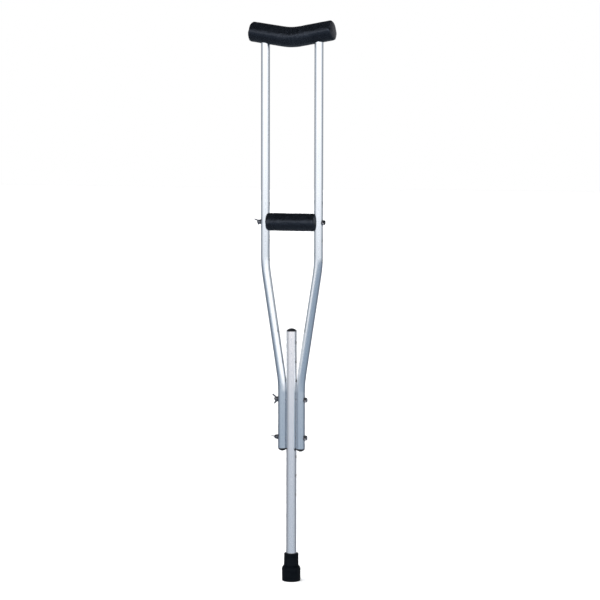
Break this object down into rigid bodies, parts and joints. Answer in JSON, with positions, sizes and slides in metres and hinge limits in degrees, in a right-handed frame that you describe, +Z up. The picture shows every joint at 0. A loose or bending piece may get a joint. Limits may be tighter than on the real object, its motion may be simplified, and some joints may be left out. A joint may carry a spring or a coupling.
{
  "type": "underarm crutch",
  "caption": "Aluminium underarm crutch: bent side tubes under a padded saddle, a cross handgrip, and a leg that slides to set the height above a rubber tip.",
  "frame": {"origin": "centre of the rubber tip's sole, on the floor", "axes": "+Z up along the leg; +X across the frame from the wing nut side to the bolt head side; +Y from front to back"},
  "size_m": [0.191, 0.0422, 1.2],
  "materials": {
    "tube_aluminium": "satin anodised",
    "leg_aluminium": "satin anodised",
    "moulded_plastic": "matte moulded",
    "rivet_aluminium": "plain",
    "pad_foam": "soft foamed skin",
    "grip_foam": "closed-cell foam",
    "plug_plastic": "smooth moulded",
    "tip_rubber": "moulded rubber",
    "plated_steel": "zinc plated",
    "wing_nut_metal": "cast, zinc plated"
  },
  "bodies": {
    "frame": {"side_tube_left": "tube_aluminium", "side_tube_right": "tube_aluminium", "saddle_core": "moulded_plastic", "saddle_rivet_left": "rivet_aluminium", "saddle_rivet_right": "rivet_aluminium", "underarm_pad": "pad_foam", "end_plug_left": "plug_plastic", "end_plug_right": "plug_plastic", "grip_core": "moulded_plastic", "grip_sleeve": "grip_foam", "grip_bolt": "plated_steel", "grip_head_washer": "plated_steel", "grip_nut_washer": "plated_steel", "upper_bolt": "plated_steel", "upper_head_washer": "plated_steel", "upper_nut_washer": "plated_steel", "lower_bolt": "plated_steel", "lower_head_washer": "plated_steel", "lower_nut_washer": "plated_steel"},
    "leg": {"extension_tube": "leg_aluminium", "extension_plug": "plug_plastic", "rubber_tip": "tip_rubber", "tip_disc": "plated_steel"},
    "grip_nut": {"grip_wing_nut": "wing_nut_metal"},
    "upper_nut": {"upper_wing_nut": "wing_nut_metal"},
    "lower_nut": {"lower_wing_nut": "wing_nut_metal"}
  },
  "joints": [
    {"name": "leg_slide", "type": "slide", "parent": "frame", "child": "leg", "axis": [0, 0, 1], "range_m": [-0.123, 0.123]},
    {"name": "grip_nut_spin", "type": "hinge", "parent": "frame", "child": "grip_nut", "pos_m": [-0.0713, 0, 0.774], "axis": [1, 0, 0], "continuous": true},
    {"name": "upper_nut_spin", "type": "hinge", "parent": "frame", "child": "upper_nut", "pos_m": [-0.0314, 0, 0.3935], "axis": [1, 0, 0], "continuous": true},
    {"name": "lower_nut_spin", "type": "hinge", "parent": "frame", "child": "lower_nut", "pos_m": [-0.0314, 0, 0.3115], "axis": [1, 0, 0], "continuous": true}
  ]
}
